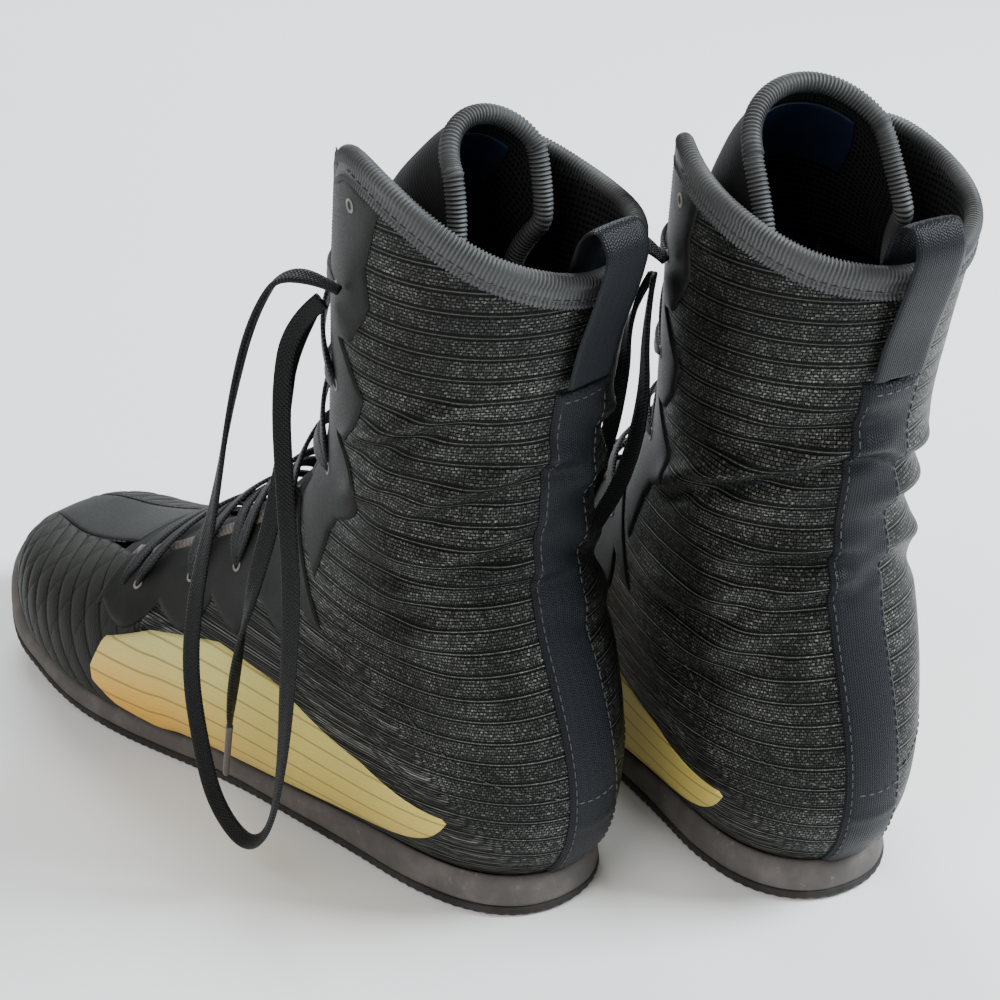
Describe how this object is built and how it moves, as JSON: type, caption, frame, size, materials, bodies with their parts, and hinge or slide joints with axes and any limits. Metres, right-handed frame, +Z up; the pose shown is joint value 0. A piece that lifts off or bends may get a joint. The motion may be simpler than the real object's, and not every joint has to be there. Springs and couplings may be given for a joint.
{
  "type": "boxing boots",
  "caption": "Pair of high lace-up boxing boots with thin rubber soles, padded leaning tongues, a bound collar, webbing backstay and heel pull loop",
  "frame": {"origin": "on the floor, under the middle of the box that holds the pair", "axes": "+Y towards the toes, +X to the wearer's right, +Z up"},
  "size_m": [0.2388, 0.3612, 0.2695],
  "materials": {
    "ripstop": "ribbed ripstop weave, low sheen",
    "smooth_film": "matt welded film",
    "tread_rubber": "dark rubber with small ribs",
    "wall_rubber": "matt grey-brown rubber",
    "midsole_foam": "moulded foam",
    "board": "fibre board",
    "mesh_lining": "open air mesh",
    "grosgrain": "ribbed binding",
    "webbing": "twill webbing",
    "tongue_fabric": "padded knit",
    "label_cloth": "plain woven label",
    "lace": "flat braid",
    "aglet_plastic": "heat-shrunk tip",
    "gold_print": "metallic gold print film"
  },
  "bodies": {
    "left_boot": {"left_outsole": "tread_rubber", "left_midsole": "midsole_foam", "left_sole_wall": "wall_rubber", "left_insole_board": "board", "left_sockliner": "mesh_lining", "left_quarter_lateral": "ripstop", "left_quarter_medial": "ripstop", "left_forefoot_lateral": "ripstop", "left_forefoot_medial": "ripstop", "left_toe_panel": "smooth_film", "left_vamp_overlay_lateral": "smooth_film", "left_vamp_overlay_medial": "smooth_film", "left_eyestay_lateral": "smooth_film", "left_eyestay_medial": "smooth_film", "left_heel_counter": "board", "left_lining_lateral": "mesh_lining", "left_lining_medial": "mesh_lining", "left_collar_binding": "grosgrain", "left_backstay": "webbing", "left_tongue_lower": "tongue_fabric", "left_lacing": "lace", "left_eyelets": "smooth_film", "left_side_print": "gold_print", "left_lace_loop": "lace", "left_lace_tail": "lace", "left_aglet": "aglet_plastic"},
    "left_tongue": {"left_tongue_upper": "tongue_fabric", "left_tongue_binding": "grosgrain", "left_tongue_label": "label_cloth"},
    "left_loop": {"left_pull_loop": "webbing"},
    "right_boot": {"right_outsole": "tread_rubber", "right_midsole": "midsole_foam", "right_sole_wall": "wall_rubber", "right_insole_board": "board", "right_sockliner": "mesh_lining", "right_quarter_lateral": "ripstop", "right_quarter_medial": "ripstop", "right_forefoot_lateral": "ripstop", "right_forefoot_medial": "ripstop", "right_toe_panel": "smooth_film", "right_vamp_overlay_lateral": "smooth_film", "right_vamp_overlay_medial": "smooth_film", "right_eyestay_lateral": "smooth_film", "right_eyestay_medial": "smooth_film", "right_heel_counter": "board", "right_lining_lateral": "mesh_lining", "right_lining_medial": "mesh_lining", "right_collar_binding": "grosgrain", "right_backstay": "webbing", "right_tongue_lower": "tongue_fabric", "right_lacing": "lace", "right_eyelets": "smooth_film", "right_side_print": "gold_print", "right_lace_loop": "lace", "right_lace_tail": "lace", "right_aglet": "aglet_plastic"},
    "right_tongue": {"right_tongue_upper": "tongue_fabric", "right_tongue_binding": "grosgrain", "right_tongue_label": "label_cloth"},
    "right_loop": {"right_pull_loop": "webbing"}
  },
  "joints": [
    {"name": "right_boot_apart", "type": "slide", "parent": "left_boot", "child": "right_boot", "axis": [1, 0, 0], "range_m": [0, 0.15]},
    {"name": "left_tongue_flex", "type": "hinge", "parent": "left_boot", "child": "left_tongue", "pos_m": [-0.04749, -0.03023, 0.22], "axis": [0.9907, 0.1357, 0], "range_deg": [-6, 12], "stiffness_Nm_per_rad": 0.1, "springref_deg": -0.8},
    {"name": "left_loop_flex", "type": "hinge", "parent": "left_boot", "child": "left_loop", "pos_m": [-0.03623, -0.11246, 0.1905], "axis": [0.9907, 0.1357, 0], "range_deg": [-3, 2], "stiffness_Nm_per_rad": 0.02},
    {"name": "right_tongue_flex", "type": "hinge", "parent": "right_boot", "child": "right_tongue", "pos_m": [0.04749, -0.08283, 0.22], "axis": [0.9907, -0.1357, 0], "range_deg": [-6, 12], "stiffness_Nm_per_rad": 0.1, "springref_deg": -0.8},
    {"name": "right_loop_flex", "type": "hinge", "parent": "right_boot", "child": "right_loop", "pos_m": [0.03623, -0.16506, 0.1905], "axis": [0.9907, -0.1357, 0], "range_deg": [-3, 2], "stiffness_Nm_per_rad": 0.02}
  ]
}
